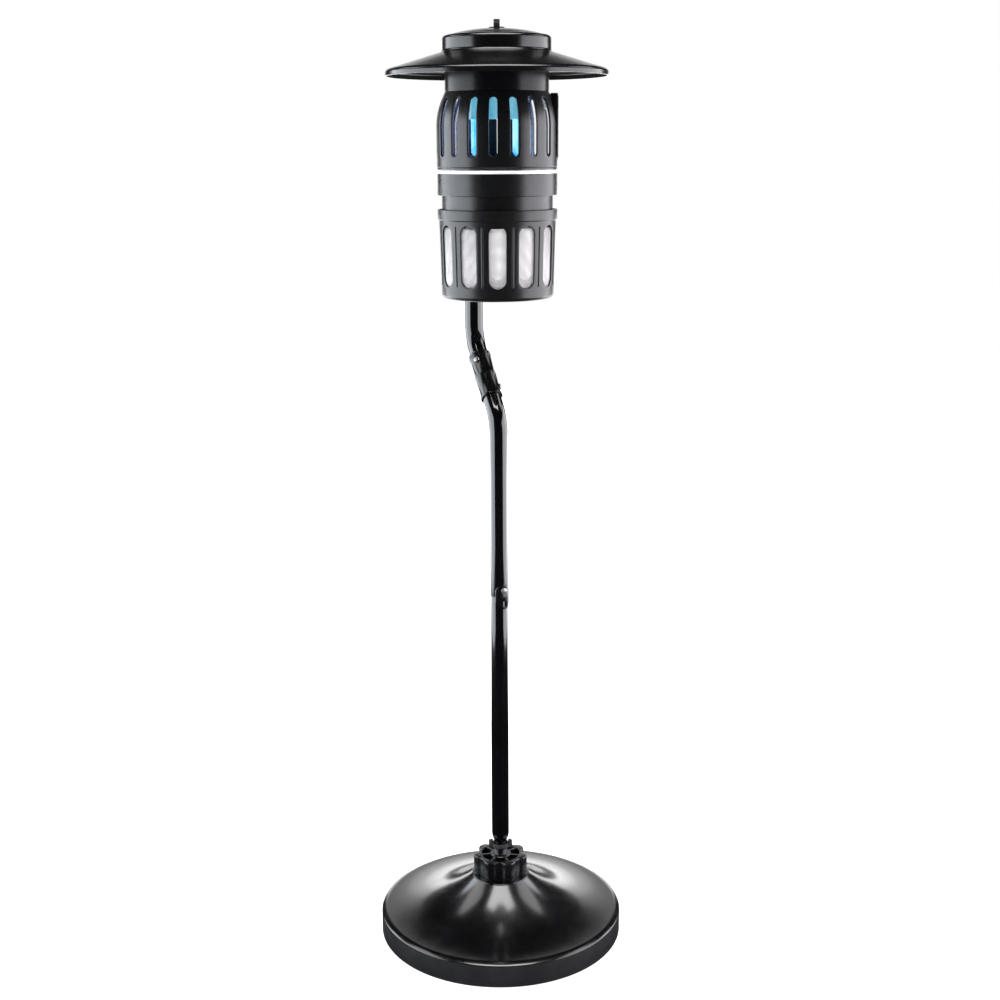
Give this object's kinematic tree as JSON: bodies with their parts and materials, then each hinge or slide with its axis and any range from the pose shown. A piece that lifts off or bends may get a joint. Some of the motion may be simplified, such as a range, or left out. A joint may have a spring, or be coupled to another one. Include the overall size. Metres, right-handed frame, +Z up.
{
  "type": "pole-mounted insect trap",
  "caption": "Free-standing insect trap: a slotted lamp head with a fan and catch basket, under a round roof, on an offset pole with a weighted round foot.",
  "frame": {"origin": "on the floor under the middle of the round foot, at the bottom of the rubber feet", "axes": "+Z up along the lower pole and the head's axis; -Y is the front; the upper pole runs behind the head towards +Y and -X"},
  "size_m": [0.31, 0.31, 1.138],
  "materials": {
    "foot_shell": "gloss black moulded shell with a satin rim",
    "pan_plastic": "matte black underside pan",
    "cast_ballast": "rough cast ballast weight",
    "foot_rubber": "soft dark rubber",
    "socket_steel": "zinc-plated steel socket",
    "screw_steel": "zinc-plated screws",
    "knob_plastic": "satin black moulded knob",
    "black_steel": "black oxide thread",
    "satin_black": "satin black plastic",
    "gloss_pole": "gloss black powder-coated tube",
    "sleeve_plastic": "semi-gloss black sleeve",
    "button_steel": "turned steel, darkened",
    "spring_steel": "spring steel strip",
    "housing_black": "satin black housing plastic with a fine grain",
    "bright_trim": "bright silver trim",
    "wire_sleeve": "insulated lead",
    "white_plastic": "white heat-resistant plastic",
    "gland_rubber": "black cord gland",
    "motor_can": "pressed motor can",
    "rotor_plastic": "dark grey fan",
    "basket_black": "satin black basket plastic",
    "steel_mesh": "fine woven wire mesh",
    "collar_black": "gloss black collar",
    "uv_lamp": "emissive blue ultraviolet lamp tubes in a white cap",
    "board_green": "circuit board",
    "board_parts": "driver components",
    "contact_brass": "brass blades",
    "roof_black": "gloss black roof"
  },
  "bodies": {
    "foot": {"base_shell": "foot_shell", "base_pan": "pan_plastic", "ballast_disc": "cast_ballast", "rubber_feet": "foot_rubber", "base_socket": "socket_steel", "base_screws": "screw_steel", "flange_bolts": "screw_steel"},
    "mast": {"pole_stud": "black_steel", "stud_washer": "screw_steel", "stud_nut": "screw_steel", "foot_collar": "satin_black", "lower_pole": "gloss_pole", "middle_pole": "gloss_pole", "offset_sleeve": "sleeve_plastic", "upper_pole": "gloss_pole", "joint_clip": "sleeve_plastic", "mid_spring": "spring_steel", "sleeve_low_spring": "spring_steel", "sleeve_top_spring": "spring_steel", "bracket_spring": "spring_steel", "pole_bracket": "satin_black", "bracket_screws": "screw_steel", "fan_housing": "housing_black", "trim_ring": "bright_trim", "lamp_cage": "housing_black", "cage_screws": "screw_steel", "wire_channel": "housing_black", "inner_wires": "wire_sleeve", "contact_socket": "white_plastic", "cord_gland": "gland_rubber", "intake_funnel": "satin_black", "fan_guard": "satin_black", "motor_spider": "satin_black", "fan_motor": "motor_can"},
    "knob": {"lock_knob": "knob_plastic"},
    "mid_button_body": {"mid_button": "button_steel"},
    "sleeve_low_button_body": {"sleeve_low_button": "button_steel"},
    "sleeve_top_button_body": {"sleeve_top_button": "button_steel"},
    "bracket_button_body": {"bracket_button": "button_steel"},
    "rotor": {"fan_rotor": "rotor_plastic", "motor_shaft": "button_steel"},
    "basket": {"basket_cage": "basket_black", "basket_floor": "basket_black", "basket_mesh": "steel_mesh", "floor_mesh": "steel_mesh"},
    "hood": {"hood_collar": "collar_black", "lamp_holder": "white_plastic", "lamp_left": "uv_lamp", "lamp_right": "uv_lamp", "driver_board": "board_green", "driver_parts": "board_parts", "contact_blades": "contact_brass", "roof_brim": "roof_black", "hood_cap": "roof_black", "hood_screws": "screw_steel", "hanger_eye": "satin_black"}
  },
  "joints": [
    {"name": "mast_turn", "type": "hinge", "parent": "foot", "child": "mast", "pos_m": [0, 0, 0.08], "axis": [0, 0, 1], "range_deg": [-180, 180]},
    {"name": "knob_turn", "type": "hinge", "parent": "mast", "child": "knob", "pos_m": [0, 0, 0.09], "axis": [0, 0, 1], "range_deg": [0, 180]},
    {"name": "mid_button_press", "type": "slide", "parent": "mast", "child": "mid_button_body", "axis": [-0.4848, 0.8746, 0], "range_m": [0, 0.003], "stiffness_N_per_m": 400, "springref_m": -0.002, "deforming": ["mid_spring"]},
    {"name": "sleeve_low_button_press", "type": "slide", "parent": "mast", "child": "sleeve_low_button_body", "axis": [-0.9345, 0.0417, -0.3536], "range_m": [0, 0.003], "stiffness_N_per_m": 400, "springref_m": -0.002, "deforming": ["sleeve_low_spring"]},
    {"name": "sleeve_top_button_press", "type": "slide", "parent": "mast", "child": "sleeve_top_button_body", "axis": [0.4978, 0.7087, -0.5], "range_m": [0, 0.003], "stiffness_N_per_m": 400, "springref_m": -0.002, "deforming": ["sleeve_top_spring"]},
    {"name": "bracket_button_press", "type": "slide", "parent": "mast", "child": "bracket_button_body", "axis": [0.3363, -0.9418, 0], "range_m": [0, 0.003], "stiffness_N_per_m": 400, "springref_m": -0.002, "deforming": ["bracket_spring"]},
    {"name": "fan_spin", "type": "hinge", "parent": "mast", "child": "rotor", "pos_m": [0, 0, 0.923], "axis": [0, 0, 1], "continuous": true},
    {"name": "basket_drop", "type": "slide", "parent": "mast", "child": "basket", "axis": [0, 0, -1], "range_m": [0, 0.05]},
    {"name": "hood_lift", "type": "slide", "parent": "mast", "child": "hood", "axis": [0, 0, 1], "range_m": [0, 0.1]}
  ]
}
